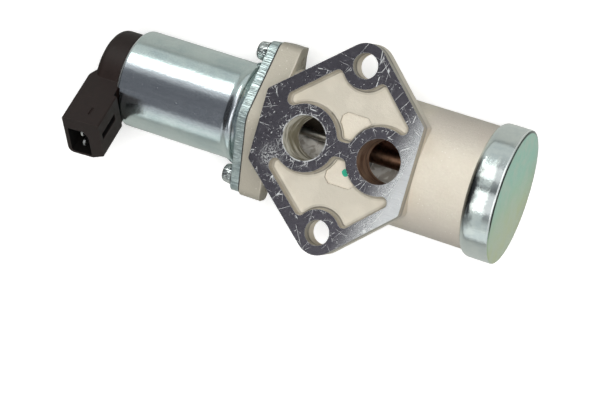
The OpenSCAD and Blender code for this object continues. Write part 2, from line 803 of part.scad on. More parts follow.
module spring_seat() {
    lip_r = spring_mean_d / 2 - wire_d / 2 - 0.3;
    color([0.7, 0.72, 0.72]) turned([
        [shaft_d / 2, spring_seat_x0], [sleeve_d / 2, spring_seat_x0], [sleeve_d / 2, spring_seat_x0 - 1.2],
        [lip_r, spring_seat_x0 - 1.2], [lip_r, spring_seat_x0], [spring_seat_r, spring_seat_x0],
        [spring_seat_r, spring_seat_x1], [shaft_d / 2, spring_seat_x1]
    ]);
}

module shaft_nut() {
    color([0.7, 0.72, 0.72]) on_axis() translate([0, 0, spring_seat_x1]) difference() {
        cylinder(h = nut_t, d = nut_across_flats / cos(30), $fn = 6);
        translate([0, 0, -1]) cylinder(h = nut_t + 2, d = shaft_d);
    }
}

// The spring: a wire of six sides swept along a helix whose first and last turns lie flat
module return_spring() {
    sides = 6;
    steps = 18;
    lay_r = spring_mean_d / 2;
    wire_r = wire_d / 2;
    rest = 0.05;
    first = guide_x1 + wire_r + rest;
    last = spring_seat_x0 - wire_r - rest;
    n = round(spring_turns * steps);
    flat = 0.75 * steps;
    // Share of the climb done after i steps, with closed end turns
    function climb(i) = min(1, max(0, (i - flat * 0.6) / (n - flat * 1.2)));
    function at(i) = first + (last - first) * climb(i);
    points = [for (i = [0:n]) for (k = [0:sides - 1])
        let (turn = 360 * i / steps, a = 360 * k / sides + 30, r = lay_r + wire_r * cos(a))
        [r * cos(turn), r * sin(turn), at(i) + wire_r * sin(a)]];
    walls = [for (i = [0:n - 1]) for (k = [0:sides - 1])
        let (a = i * sides + k, b = i * sides + (k + 1) % sides)
        [a, a + sides, b + sides, b]];
    ends = [[for (k = [0:sides - 1]) k], [for (k = [sides - 1:-1:0]) n * sides + k]];
    color([0.6, 0.6, 0.6]) on_axis() polyhedron(points, concat(walls, ends));
}

valve_body();
seat_insert();
front_bush();
rear_guide();
rear_bush();
end_cap();
cap_oring();
plate_gasket();
mounting_plate();
solenoid_can();
flux_washer();
pole_piece();
guide_tube();
tube_oring();
coil_bobbin();
coil_winding();
connector_housing();
housing_oring();
terminal_pins();
housing_screws();
spring_washers();
plain_washers();
armature();
valve_shaft();
valve_disc();
guide_sleeve();
spring_seat();
shaft_nut();
return_spring();
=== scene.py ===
"""The valve's finishes and small details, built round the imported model, in the photograph's light."""

import json
import math

import bmesh
import bpy
from mathutils import Matrix, Vector

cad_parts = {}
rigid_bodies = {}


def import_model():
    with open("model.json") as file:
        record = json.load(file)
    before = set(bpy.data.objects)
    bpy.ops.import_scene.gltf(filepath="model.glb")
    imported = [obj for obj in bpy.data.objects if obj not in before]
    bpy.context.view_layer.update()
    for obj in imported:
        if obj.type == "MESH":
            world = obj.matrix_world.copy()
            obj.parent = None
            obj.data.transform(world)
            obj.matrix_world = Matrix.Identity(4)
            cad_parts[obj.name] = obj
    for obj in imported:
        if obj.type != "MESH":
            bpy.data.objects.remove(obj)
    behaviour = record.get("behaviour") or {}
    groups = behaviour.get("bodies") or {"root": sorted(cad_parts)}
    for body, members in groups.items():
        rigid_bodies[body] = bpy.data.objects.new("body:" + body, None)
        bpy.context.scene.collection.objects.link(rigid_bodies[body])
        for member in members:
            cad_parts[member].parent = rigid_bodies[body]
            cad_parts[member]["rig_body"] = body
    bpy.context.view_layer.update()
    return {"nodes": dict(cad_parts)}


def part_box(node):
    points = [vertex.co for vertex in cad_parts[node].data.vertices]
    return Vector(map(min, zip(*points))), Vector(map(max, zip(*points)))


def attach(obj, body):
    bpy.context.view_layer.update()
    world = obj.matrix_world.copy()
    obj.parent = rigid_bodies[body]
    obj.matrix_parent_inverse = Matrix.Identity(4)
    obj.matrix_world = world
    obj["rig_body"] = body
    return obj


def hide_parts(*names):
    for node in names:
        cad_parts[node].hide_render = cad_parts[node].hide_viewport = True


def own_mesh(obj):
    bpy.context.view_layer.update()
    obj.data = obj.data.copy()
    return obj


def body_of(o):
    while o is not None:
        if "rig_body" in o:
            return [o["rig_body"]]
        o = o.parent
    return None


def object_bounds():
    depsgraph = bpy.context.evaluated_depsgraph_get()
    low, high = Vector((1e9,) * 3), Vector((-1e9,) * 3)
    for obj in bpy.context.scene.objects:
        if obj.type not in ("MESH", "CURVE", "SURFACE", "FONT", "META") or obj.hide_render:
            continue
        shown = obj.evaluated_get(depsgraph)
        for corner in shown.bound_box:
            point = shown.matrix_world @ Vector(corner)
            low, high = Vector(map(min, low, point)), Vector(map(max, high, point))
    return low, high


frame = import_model()
nodes = frame["nodes"]

MM = 0.001
# A hair's breadth in millimetres, by which a cut or a test clears an edge
HAIR = 0.002


def span(name, axis=0):
    """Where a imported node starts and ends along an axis, in millimetres to the micron."""
    first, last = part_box(name)
    return round(first[axis] / MM, 3), round(last[axis] / MM, 3)


# Places on the valve, in millimetres
AXIS_Z = -25.5
PORTS = (-13.15, 13.15)
PORT_R = 7.4
MIDDLE_BORE_R = 12.2
REAR_BORE_R = 16.6
POCKET_FLOOR = -3.6
END_FLANGE_FRONT = span("plate_gasket")[1] + 7.9
CAN_END, PLATE_X = span("solenoid_can")
BEAD_X = PLATE_X - 1.6
SOCKET_X = CAN_END - 5.8
CAP_FACE = span("end_cap")[1]
CAP_R = span("end_cap", 1)[1]
CAP_EDGE_R = 0.7

# Where the washers and heads stand in the photograph
WASHER_JOINT = PLATE_X - 0.9
UNDER_HEAD = WASHER_JOINT - 1.3
HEAD_END = UNDER_HEAD - 3.8

# Marks on the casting, along the valve and across it
GREEN_DOT = (2.2, -7.1)
BATTERED = (-13.5, 0.0)
SCUFFED = (-22.5, -9.0)

# How the plug's socket is turned about the axis, and how it leans
SOCKET_TURN = math.radians(47)
SOCKET_LEAN = math.radians(3.5)

# The camera that was fitted to the photograph: its lens in millimetres, its place in metres
PHOTO_LENS = 113.22
PHOTO_CAMERA = Matrix((
    (0.90134, -0.30089, 0.31152, 0.181671),
    (0.27711, 0.95343, 0.11910, 0.053138),
    (-0.33285, -0.02103, 0.94275, 0.575780),
    (0, 0, 0, 1),
))


class Finish:
    """A material and the short calls that build it. All lengths in its textures are millimetres."""

    def __init__(self, name):
        self.material = bpy.data.materials.new(name)
        self.material.use_nodes = True
        self.tree = self.material.node_tree
        self.skin = self.tree.nodes["Principled BSDF"]
        self.place = None

    def node(self, kind, sockets=None, **settings):
        made = self.tree.nodes.new("ShaderNode" + kind)
        for key, value in settings.items():
            setattr(made, key, value)
        for key, value in (sockets or {}).items():
            self.feed(made.inputs[key], value)
        return made

    def feed(self, socket, value):
        if isinstance(value, bpy.types.NodeSocket):
            self.tree.links.new(value, socket)
        else:
            socket.default_value = value

    def point(self):
        """The place on the object, in millimetres."""
        if self.place is None:
            at = self.node("TexCoord").outputs["Object"]
            scaled = self.node("Mapping", {"Vector": at, "Scale": (1000, 1000, 1000)})
            self.place = scaled.outputs["Vector"]
        return self.place

    def moved(self, turn=(0, 0, 0), scale=(1, 1, 1)):
        """The place on the object, turned and scaled, for a texture that is drawn out one way."""
        sockets = {"Vector": self.point(), "Rotation": turn, "Scale": scale}
        return self.node("Mapping", sockets).outputs["Vector"]

    def along(self, axis, vector=None):
        parts = self.node("SeparateXYZ", {"Vector": self.point() if vector is None else vector})
        return parts.outputs[axis]

    def noise(self, per_mm, detail=2.0, rough=0.5, vector=None, twist=0.0):
        sockets = {
            "Vector": self.point() if vector is None else vector,
            "Scale": per_mm,
            "Detail": detail,
            "Roughness": rough,
            "Distortion": twist,
        }
        return self.node("TexNoise", sockets).outputs["Fac"]

    def cells(self, per_mm, vector=None, feature="F1"):
        sockets = {"Vector": self.point() if vector is None else vector, "Scale": per_mm}
        return self.node("TexVoronoi", sockets, feature=feature).outputs["Distance"]

    def sum(self, kind, a, b=0.0):
        """One step of arithmetic on numbers or sockets."""
        made = self.node("Math", operation=kind)
        for socket, value in zip(made.inputs, (a, b)):
            self.feed(socket, value)
        return made.outputs[0]

    def step(self, value, low, high, start=0.0, end=1.0):
        """A smooth change from start to end as value goes from low to high."""
        made = self.node("MapRange", interpolation_type="SMOOTHSTEP")
        for key, number in (("From Min", low), ("From Max", high), ("To Min", start), ("To Max", end)):
            made.inputs[key].default_value = number
        self.feed(made.inputs["Value"], value)
        return made.outputs["Result"]

    def blend(self, share, first, second):
        made = self.node("Mix", data_type="RGBA")
        self.feed(made.inputs["Factor"], share)
        for socket, value in ((made.inputs[6], first), (made.inputs[7], second)):
            self.feed(socket, (*value, 1.0) if isinstance(value, tuple) else value)
        return made.outputs[2]

    def band(self, value, middle, half):
        """1 near a value and 0 away from it."""
        off = self.sum("ABSOLUTE", self.sum("SUBTRACT", value, middle))
        return self.step(off, half, half * 0.5)

    def within(self, value, low, high, soft=0.1):
        """1 between two values and 0 outside them."""
        return self.sum("MULTIPLY", self.step(value, low - soft, low), self.step(value, high + soft, high))

    def relief(self, height, depth, normal=None):
        """A bump of the given depth in millimetres."""
        sockets = {"Height": height, "Distance": depth * MM, "Strength": 1.0}
        if normal is not None:
            sockets["Normal"] = normal
        return self.node("Bump", sockets).outputs["Normal"]

    def soft_edges(self, radius):
        """The surface direction with every edge rounded over by a radius in millimetres."""
        return self.node("Bevel", {"Radius": radius * MM}, samples=4).outputs["Normal"]

    def edge_share(self, radius):
        """1 at a sharp edge and 0 away from it."""
        flat = self.node("NewGeometry").outputs["Normal"]
        dot = self.node("VectorMath", {0: self.soft_edges(radius), 1: flat}, operation="DOT_PRODUCT")
        return self.step(dot.outputs["Value"], 0.995, 0.8)

    def done(self, **sockets):
        """Feeds the surface's own sockets, named by their labels in small letters."""
        for key, value in sockets.items():
            self.feed(self.skin.inputs[key.replace("_", " ").title()], value)


def scratches(look, turn, per_mm, length, width, kept):
    """Thin straight scratches that lie one way, broken up by a noise. Width is in millimetres."""
    sockets = {"Vector": look.point(), "Rotation": (0, 0, math.radians(turn)), "Scale": (length, 1, 1)}
    lie = look.node("Mapping", sockets, vector_type="TEXTURE").outputs["Vector"]
    off_line = look.cells(per_mm, lie, "DISTANCE_TO_EDGE")
    line = look.step(off_line, width * per_mm, width * per_mm * 0.3)
    return look.sum("MULTIPLY", line, look.step(look.noise(0.5, 3.0, 0.7, lie), kept, kept + 0.08))


def zinc(name, colour, tint, rough, clouds, age):
    """Bright zinc plating: cloudy tint, fine drawing marks and a few rubs."""
    look = Finish(name)
    cloud = look.step(look.noise(clouds, 4.0, 0.6), 0.35, 0.65)
    fine = look.noise(3.0, 3.0, 0.6)
    marks = look.noise(1.6, 4.0, 0.7, look.moved(scale=(0.08, 1, 1)))
    rub = look.step(look.noise(0.5, 5.0, 0.75), 0.62, 0.75)
    base = look.blend(cloud, colour, tint)
    base = look.blend(look.sum("MULTIPLY", rub, age), base, (0.42, 0.44, 0.42))
    gloss = look.sum("ADD", rough, look.sum("MULTIPLY", fine, 0.08))
    gloss = look.sum("ADD", gloss, look.sum("MULTIPLY", rub, 0.12))
    normal = look.soft_edges(0.25)
    normal = look.relief(marks, 0.008, normal)
    normal = look.relief(look.noise(1.3, 3.0, 0.6), 0.022, normal)
    normal = look.relief(look.noise(0.3, 2.0, 0.5), 0.05, normal)
    look.done(base_color=(1, 1, 1, 1), metallic=1.0, normal=normal, roughness=gloss)
    look.feed(look.skin.inputs["Base Color"], base)
    return look


def from_line(look, first, second, first_at, second_at):
    """Distance from a line, given the two coordinates across it and the line's place in them."""
    first = look.sum("POWER", look.sum("SUBTRACT", first, first_at), 2.0)
    second = look.sum("POWER", look.sum("SUBTRACT", second, second_at), 2.0)
    return look.sum("SQRT", look.sum("ADD", first, second))


def cast_skin(look, x, z, facing):
    """The blasted skin: warm mottling, pits, painted shade on the pocket floors and steep walls, a painted
    dark line where the walls meet the floor, and painted shade on the end flange and the barrel's sides.
    """
    upright = look.along("Z", facing)
    sideways = look.step(look.along("X", facing), -0.1, 0.5, 0.25, 1.0)
    grain = look.noise(1.1, 3.0, 0.6)
    mottle = look.step(look.noise(0.45, 4.0, 0.7), 0.35, 0.65)
    stain = look.step(look.noise(0.09, 4.0, 0.6), 0.4, 0.68)
    skin = look.blend(grain, (0.68, 0.63, 0.53), (0.82, 0.765, 0.66))
    skin = look.blend(look.sum("MULTIPLY", mottle, 0.35), skin, (0.74, 0.655, 0.58))
    skin = look.blend(look.sum("MULTIPLY", stain, 0.30), skin, (0.66, 0.58, 0.48))
    pits = look.step(look.cells(0.9), 0.10, 0.02)
    pits = look.sum("MULTIPLY", pits, look.step(look.noise(0.3, 2.0), 0.5, 0.6))
    skin = look.blend(look.sum("MULTIPLY", pits, 0.5), skin, (0.36, 0.32, 0.27))
    rise = look.sum("SUBTRACT", z, POCKET_FLOOR)
    # Painted shade: the pocket floors are darkened as if shaded by their walls
    painted_pocket_floor_shade = look.sum("MULTIPLY", look.step(rise, -0.7, -0.5), look.step(rise, 1.6, 1.3))
    painted_pocket_floor_shade = look.sum("MULTIPLY", painted_pocket_floor_shade, look.step(x, -31.5, -31.0))
    skin = look.blend(look.sum("MULTIPLY", painted_pocket_floor_shade, 0.75), skin, (0.58, 0.54, 0.46))
    # Painted shade on the steep walls, strongest on those facing +X
    wall = look.step(upright, 0.93, 0.45)
    wall = look.sum("MULTIPLY", wall, look.step(rise, -1.0, -0.4))
    wall = look.sum("MULTIPLY", wall, sideways)
    skin = look.blend(look.sum("MULTIPLY", wall, 0.52), skin, (0.22, 0.20, 0.165))
    # Painted shade: a dark line where the walls meet the floor, darker round the pads
    painted_wall_foot_shade = look.sum("MULTIPLY", look.step(rise, -0.15, 0.1), look.step(rise, 0.95, 0.65))
    painted_wall_foot_shade = look.sum("MULTIPLY", painted_wall_foot_shade, look.step(upright, 0.97, 0.80))
    pads = look.sum("MULTIPLY", look.within(x, -7.5, 7.5), look.step(rise, 1.2, 0.95))
    painted_wall_foot_shade = look.sum("MULTIPLY", painted_wall_foot_shade, look.sum("ADD", 0.36, look.sum("MULTIPLY", pads, 0.44)))
    skin = look.blend(painted_wall_foot_shade, skin, (0.10, 0.09, 0.075))
    paler = look.step(look.noise(0.12, 2.0, 0.5), 0.40, 0.62)
    paler = look.sum("MULTIPLY", paler, look.step(rise, 1.6, 0.6))
    paler = look.sum("MULTIPLY", paler, look.step(rise, -0.7, -0.5))
    skin = look.blend(look.sum("MULTIPLY", paler, 0.22), skin, (0.86, 0.80, 0.69))
    # Painted shade on the end flange, which lies in the face flange's shade
    painted_end_flange_shade = look.step(x, END_FLANGE_FRONT, END_FLANGE_FRONT - 0.7)
    skin = look.blend(look.sum("MULTIPLY", painted_end_flange_shade, 0.85), skin, (0.46, 0.425, 0.355))
    # Painted shade: the barrel's sides turn darker, pinker grey away from its top
    painted_barrel_side_shade = look.step(look.sum("ABSOLUTE", look.along("Y")), 7, 19)
    painted_barrel_side_shade = look.sum("MULTIPLY", painted_barrel_side_shade, look.step(x, 20, 24))
    skin = look.blend(look.sum("MULTIPLY", painted_barrel_side_shade, 0.38), skin, (0.585, 0.52, 0.495))
    speck = look.sum("MULTIPLY", look.step(look.cells(0.55), 0.13, 0.05), look.step(z, -4.3, -5.0))
    skin = look.blend(look.sum("MULTIPLY", speck, 0.6), skin, (0.97, 0.95, 0.90))
    worn = look.sum("MULTIPLY", look.edge_share(0.5), look.step(z, -4.4, -5.2))
    return look.blend(look.sum("MULTIPLY", worn, 0.35), skin, (0.93, 0.92, 0.90))


def bore_metal(look, x, y, across):
    """The ports' walls and the stepped bore behind them: streaky walls, and within the bore painted shade
    with painted light on its low side.
    """
    tool = look.noise(1.6, 3.0, 0.6, look.moved(scale=(0.25, 0.25, 1.6)))
    streak = look.noise(0.35, 2.0, 0.5, look.moved(scale=(0.35, 0.35, 1.0)))
    streak = look.step(streak, 0.38, 0.60)
    left = look.blend(streak, (0.30, 0.27, 0.19), (1.0, 0.97, 0.88))
    left = look.blend(look.sum("MULTIPLY", tool, 0.18), left, (0.66, 0.62, 0.50))
    right = look.blend(streak, (0.16, 0.085, 0.055), (0.40, 0.27, 0.19))
    wall = look.blend(look.step(x, -1, 1), left, right)
    swirl = look.step(look.noise(0.22, 2.0, 0.5, twist=0.8), 0.46, 0.56)
    # Painted shade deep in the bore, browner in the right port, and painted light on its low side
    dark = look.blend(look.step(x, -1, 1), (0.05, 0.04, 0.03), (0.26, 0.12, 0.08))
    dark = look.blend(look.sum("MULTIPLY", swirl, 0.6), dark, (0.012, 0.010, 0.009))
    bright = look.blend(look.sum("MULTIPLY", swirl, 0.6), (1.0, 0.98, 0.92), (0.34, 0.29, 0.23))
    low_side = look.step(look.sum("ADD", y, look.sum("MULTIPLY", streak, 2.0)), 0.0, -2.5)
    painted_light_and_shade = look.blend(low_side, dark, bright)
    radius = look.sum("ADD", across, look.step(x, 0, -1, 0.0, 2.4))
    return look.blend(look.step(radius, MIDDLE_BORE_R + 0.55, MIDDLE_BORE_R + 0.2), wall, painted_light_and_shade)


def worn_lines(look, x, y, cloud):
    """Hairlines, rubs, nicks and scuffs on the milled face, thickest round the left port."""
    hair = scratches(look, 62, 0.30, 9, 0.050, 0.53)
    for turn, per_mm, length, width, kept in (
        (-50, 0.24, 7, 0.045, 0.55),
        (22, 0.28, 8, 0.040, 0.55),
        (85, 0.22, 12, 0.050, 0.55),
        (-12, 0.34, 5, 0.035, 0.56),
    ):
        hair = look.sum("MAXIMUM", hair, scratches(look, turn, per_mm, length, width, kept))
    near_port = from_line(look, x, y, *BATTERED)
    battered = look.step(look.sum("ADD", near_port, look.sum("MULTIPLY", cloud, 9.0)), 15.5, 12.5)
    battered = look.sum("MAXIMUM", battered, look.step(cloud, 0.54, 0.62))
    rubs = scratches(look, 40, 0.7, 3, 0.060, 0.50)
    rubs = look.sum("MAXIMUM", rubs, scratches(look, -70, 0.6, 3, 0.055, 0.50))
    hair = look.sum("MAXIMUM", hair, look.sum("MULTIPLY", rubs, battered))
    nick = look.sum("MULTIPLY", look.step(look.cells(1.2), 0.26, 0.14), battered)
    nick = look.sum("MULTIPLY", nick, look.step(look.noise(0.5, 2.0), 0.50, 0.56))
    nick = look.sum("MAXIMUM", nick, look.step(look.cells(0.7), 0.105, 0.06))
    hair = look.sum("MAXIMUM", hair, nick)
    mouth = look.band(from_line(look, x, y, PORTS[0], 0.0), PORT_R + 0.15, 0.28)
    mouth = look.sum("MULTIPLY", mouth, 0.8)
    mouth = look.sum("MULTIPLY", mouth, look.step(look.noise(0.4, 3.0), 0.40, 0.52))
    hair = look.sum("MAXIMUM", hair, mouth)
    rim = look.sum("MULTIPLY", look.edge_share(0.20), look.step(look.noise(0.5, 3.0, 0.6), 0.25, 0.5))
    hair = look.sum("MAXIMUM", hair, look.sum("MULTIPLY", rim, 0.9))
    scuffed = look.sum("ADD", from_line(look, x, y, *SCUFFED), look.sum("MULTIPLY", cloud, 6.0))
    scuffed = look.step(scuffed, 8.5, 4.5)
    scuffed = look.sum("MULTIPLY", scuffed, look.step(look.noise(1.6, 3.0, 0.7), 0.46, 0.60))
    return look.sum("MAXIMUM", hair, look.sum("MULTIPLY", scuffed, 0.7))


def painted_dot(look, x, y, z):
    """The share of paint at the small green dot on the lower pad."""
    dot = look.sum("ADD", from_line(look, x, y, *GREEN_DOT), look.sum("MULTIPLY", look.noise(1.2), 0.5))
    dot = look.sum("MULTIPLY", look.step(dot, 1.55, 1.40), look.step(z, -5.2, -4.9))
    return look.sum("MULTIPLY", dot, look.step(z, -1.0, -1.2))


def cast_metal():
    """The blasted casting, with its milled face, bored ports and the painted green dot."""
    look = Finish("cast_aluminium")
    x, y, z = (look.along(axis) for axis in "XYZ")
    facing = look.node("NewGeometry").outputs["Normal"]
    across = from_line(look, y, z, 0.0, AXIS_Z)
    grit = look.noise(3.2, 4.0, 0.7)
    skin = cast_skin(look, x, z, facing)
    # Milled face: painted near black as a dark reflection; towards +X a band of real brushing carries a
    # painted highlight
    milled = look.step(z, -0.07, -0.03)
    fine = look.noise(2.5, 4.0, 0.7, look.moved(turn=(0, 0, math.radians(24)), scale=(0.05, 1.6, 1)))
    hair = worn_lines(look, x, y, look.noise(0.16, 4.0, 0.65))
    brushed_and_sheen = look.step(look.sum("SUBTRACT", x, look.sum("MULTIPLY", y, 0.25)), 12.5, 25)
    face = look.blend(fine, (0.065, 0.060, 0.070), (0.16, 0.15, 0.175))
    face = look.blend(brushed_and_sheen, face, look.blend(fine, (0.56, 0.56, 0.57), (1.0, 1.0, 1.0)))
    face = look.blend(hair, face, (0.98, 0.97, 0.96))
    # Bored ports
    near = [from_line(look, x, y, at, 0.0) for at in PORTS]
    bored = look.step(look.sum("MINIMUM", *near), PORT_R + 0.12, PORT_R + 0.05)
    bored = look.sum("MAXIMUM", bored, look.step(across, REAR_BORE_R + 0.6, REAR_BORE_R + 0.3))
    bored = look.sum("MULTIPLY", bored, look.step(z, -0.02, -0.06))
    machined = look.sum("MAXIMUM", milled, bored)
    dot = painted_dot(look, x, y, z)
    base = look.blend(milled, skin, face)
    base = look.blend(bored, base, bore_metal(look, x, y, across))
    base = look.blend(dot, base, (0.02, 0.38, 0.24))
    rough_cast = look.sum("ADD", 0.42, look.sum("MULTIPLY", grit, 0.15))
    rough_face = look.sum("ADD", 0.10, look.sum("MULTIPLY", brushed_and_sheen, 0.20))
    rough_face = look.sum("ADD", rough_face, look.sum("MULTIPLY", hair, 0.45))
    rough_face = look.sum("ADD", rough_face, look.sum("MULTIPLY", bored, 0.26))
    rough = look.node("Mix", {"Factor": machined, 2: rough_cast, 3: rough_face}).outputs[0]
    as_cast = look.sum("SUBTRACT", 1.0, machined)
    normal = look.soft_edges(0.45)
    normal = look.relief(grit, 0.10, normal)
    normal = look.relief(look.sum("MULTIPLY", look.noise(1.1, 3.0, 0.6), as_cast), 0.10, normal)
    ground = look.sum("MULTIPLY", fine, look.sum("ADD", 0.2, look.sum("MULTIPLY", brushed_and_sheen, 1.8)))
    normal = look.relief(look.sum("MULTIPLY", look.sum("ADD", ground, hair), machined), 0.004, normal)
    metallic = look.node("Mix", {"Factor": machined, 2: 0.32, 3: 1.0}).outputs[0]
    unstreaked = look.sum("SUBTRACT", 1.0, look.sum("MULTIPLY", bored, 0.85))
    metallic = look.sum("MULTIPLY", metallic, unstreaked)
    metallic = look.sum("MULTIPLY", metallic, look.sum("SUBTRACT", 1.0, dot))
    look.done(roughness=rough, metallic=metallic, normal=normal)
    look.feed(look.skin.inputs["Base Color"], base)
    return look.material


def moulded_plastic():
    """Glass-filled black plastic with a fine mould grain and dusty rubs."""
    look = Finish("glass_filled_plastic")
    grain = look.noise(6.0, 4.0, 0.7)
    flow = look.noise(0.5, 4.0, 0.65, twist=0.6)
    dust = look.step(look.noise(0.8, 5.0, 0.8), 0.58, 0.72)
    rub = look.edge_share(0.35)
    base = look.blend(flow, (0.009, 0.005, 0.004), (0.026, 0.016, 0.014))
    base = look.blend(look.sum("MULTIPLY", dust, 0.16), base, (0.09, 0.075, 0.07))
    base = look.blend(look.sum("MULTIPLY", rub, 0.30), base, (0.10, 0.09, 0.085))
    # The socket and the latch slot, in the socket's own leaning directions, painted near black as the
    # shade inside them
    sockets = {"Vector": look.point(), "Location": (SOCKET_X, 0, AXIS_Z), "Rotation": (SOCKET_TURN, 0, 0)}
    turned = look.node("Mapping", sockets, vector_type="TEXTURE").outputs["Vector"]
    sockets = {"Vector": turned, "Rotation": (0, SOCKET_LEAN, 0)}
    leaning = look.node("Mapping", sockets, vector_type="TEXTURE").outputs["Vector"]
    side, deep, out = (look.along(axis, leaning) for axis in "XYZ")
    socket = look.sum("MULTIPLY", look.within(side, -5.6, 2.2), look.within(deep, -8.2, 3.7))
    socket = look.sum("MULTIPLY", socket, look.within(out, 19.5, 32.1, 0.2))
    slot = look.sum("MULTIPLY", look.within(side, 3.5, 6.6), look.within(deep, -2.0, 8.4))
    slot = look.sum("MULTIPLY", slot, look.within(out, 16.0, 31.8))
    painted_recess_shade = look.sum("MAXIMUM", socket, slot)
    base = look.blend(look.sum("MULTIPLY", painted_recess_shade, 0.92), base, (0.001, 0.001, 0.001))
    rough = look.sum("ADD", 0.42, look.sum("MULTIPLY", flow, 0.22))
    rough = look.sum("ADD", rough, look.sum("MULTIPLY", painted_recess_shade, 0.3))
    normal = look.soft_edges(0.4)
    normal = look.relief(grain, 0.03, normal)
    look.done(roughness=rough, normal=normal)
    look.skin.inputs["Specular IOR Level"].default_value = 0.28
    look.feed(look.skin.inputs["Base Color"], base)
    return look.material


def turned_metal(name, dark, pale, rough, pitch=5.0):
    """Bare metal with fine tool marks round the valve's axis."""
    look = Finish(name)
    tool = look.noise(pitch, 2.0, 0.5, look.moved(scale=(1, 0.05, 0.05)))
    cloud = look.noise(0.7, 4.0, 0.6)
    base = look.blend(look.step(cloud, 0.3, 0.7), dark, pale)
    gloss = look.sum("ADD", rough, look.sum("MULTIPLY", cloud, 0.15))
    normal = look.relief(tool, 0.01, look.soft_edges(0.15))
    look.done(metallic=1.0, roughness=gloss, normal=normal)
    look.feed(look.skin.inputs["Base Color"], base)
    return look.material


def soft_stuff(name, dark, pale, rough, per_mm, depth):
    """Rubber, fibre and moulded nylon: a mottled colour with a grain."""
    look = Finish(name)
    grain = look.noise(per_mm, 4.0, 0.7)
    base = look.blend(grain, dark, pale)
    gloss = look.sum("ADD", rough, look.sum("MULTIPLY", grain, 0.15))
    normal = look.relief(grain, depth, look.soft_edges(0.15))
    look.done(roughness=gloss, normal=normal)
    look.feed(look.skin.inputs["Base Color"], base)
    return look.material


def wire_coil():
    """Enamelled copper wire laid in turns."""
    look = Finish("enamelled_wire")
    turns = look.node("Math", operation="SINE")
    look.feed(turns.inputs[0], look.sum("MULTIPLY", look.along("X"), 14.0))
    shade = look.noise(0.6, 3.0)
    base = look.blend(shade, (0.50, 0.20, 0.08), (0.72, 0.34, 0.16))
    normal = look.relief(turns.outputs[0], 0.10)
    look.done(metallic=0.9, roughness=0.3, normal=normal)
    look.feed(look.skin.inputs["Base Color"], base)
    return look.material


def sheared_plate():
    """The mounting plate: zinc like the can's, with sheared strokes across its edge."""
    look = zinc("zinc_plate", (0.44, 0.51, 0.51), (0.60, 0.67, 0.65), 0.28, 0.5, 0.3)
    strokes = look.noise(2.4, 1.0, 0.5, look.moved(scale=(0.06, 1, 1)))
    strokes = look.step(strokes, 0.35, 0.65)
    base = look.skin.inputs["Base Color"].links[0].from_socket
    base = look.blend(look.sum("MULTIPLY", strokes, 0.34), base, (0.22, 0.27, 0.26))
    normal = look.relief(strokes, 0.14, look.soft_edges(0.3))
    look.done(base_color=(1, 1, 1, 1), normal=normal)
    look.feed(look.skin.inputs["Base Color"], base)
    return look.material


def screw_zinc():
    """The screws and washers: brighter zinc with a knurl round the heads, and painted shade in dark bands
    where head and washers meet and at the heads' end.
    """
    look = zinc("zinc_fastener", (0.62, 0.66, 0.65), (0.86, 0.88, 0.86), 0.10, 0.6, 0.4)
    x = look.along("X")
    knurl = look.step(look.noise(1.5, 1.0, 0.5, look.moved(scale=(0.10, 1, 1))), 0.38, 0.62)
    knurl = look.sum("MULTIPLY", knurl, look.step(x, UNDER_HEAD - 0.1, UNDER_HEAD - 0.3))
    # Painted shade: dark bands where head and washers meet, and at the heads' end
    painted_shade_at_joins = look.sum("MAXIMUM", look.band(x, UNDER_HEAD, 0.20), look.band(x, WASHER_JOINT, 0.16))
    painted_shade_at_joins = look.sum("MAXIMUM", painted_shade_at_joins, look.band(x, HEAD_END + 0.15, 0.30))
    base = look.skin.inputs["Base Color"].links[0].from_socket
    base = look.blend(look.sum("MULTIPLY", knurl, 0.5), base, (0.14, 0.15, 0.15))
    base = look.blend(look.sum("MULTIPLY", painted_shade_at_joins, 0.9), base, (0.03, 0.03, 0.03))
    normal = look.relief(knurl, 0.20, look.soft_edges(0.25))
    look.done(base_color=(1, 1, 1, 1), normal=normal)
    look.feed(look.skin.inputs["Base Color"], base)
    return look.material


def drawn_can():
    """The can's shell: teal plating with a fine speckle, faint strokes along it, a painted violet tint
    where its top reflects a dark band, and a painted highlight on its rolled end.
    """
    look = zinc("zinc_can", (0.65, 0.76, 0.75), (0.76, 0.86, 0.83), 0.16, 0.12, 0.25)
    x, y = look.along("X"), look.along("Y")
    speckle = look.step(look.noise(2.6, 3.0, 0.75), 0.44, 0.60)
    along = look.step(look.noise(0.8, 3.0, 0.7, look.moved(scale=(0.10, 1, 1))), 0.48, 0.66)
    # Painted reflection: a violet tint along the can's top
    painted_band_tint = look.sum("MULTIPLY", look.step(y, -11, -6), look.step(y, 8, 4))
    base = look.skin.inputs["Base Color"].links[0].from_socket
    base = look.blend(look.sum("MULTIPLY", painted_band_tint, 0.8), base, (0.66, 0.67, 0.73))
    base = look.blend(look.sum("MULTIPLY", speckle, 0.22), base, (0.30, 0.30, 0.34))
    base = look.blend(look.sum("MULTIPLY", along, 0.16), base, (0.95, 0.96, 0.97))
    # Painted highlight on the can's rolled end
    painted_lip_highlight = look.band(x, CAN_END + 0.55, 0.50)
    base = look.blend(look.sum("MULTIPLY", painted_lip_highlight, 0.8), base, (0.92, 0.94, 0.93))
    rough = look.skin.inputs["Roughness"].links[0].from_socket
    look.feed(look.skin.inputs["Roughness"], look.sum("ADD", rough, look.sum("MULTIPLY", painted_lip_highlight, 0.2)))
    look.feed(look.skin.inputs["Base Color"], base)
    return look.material


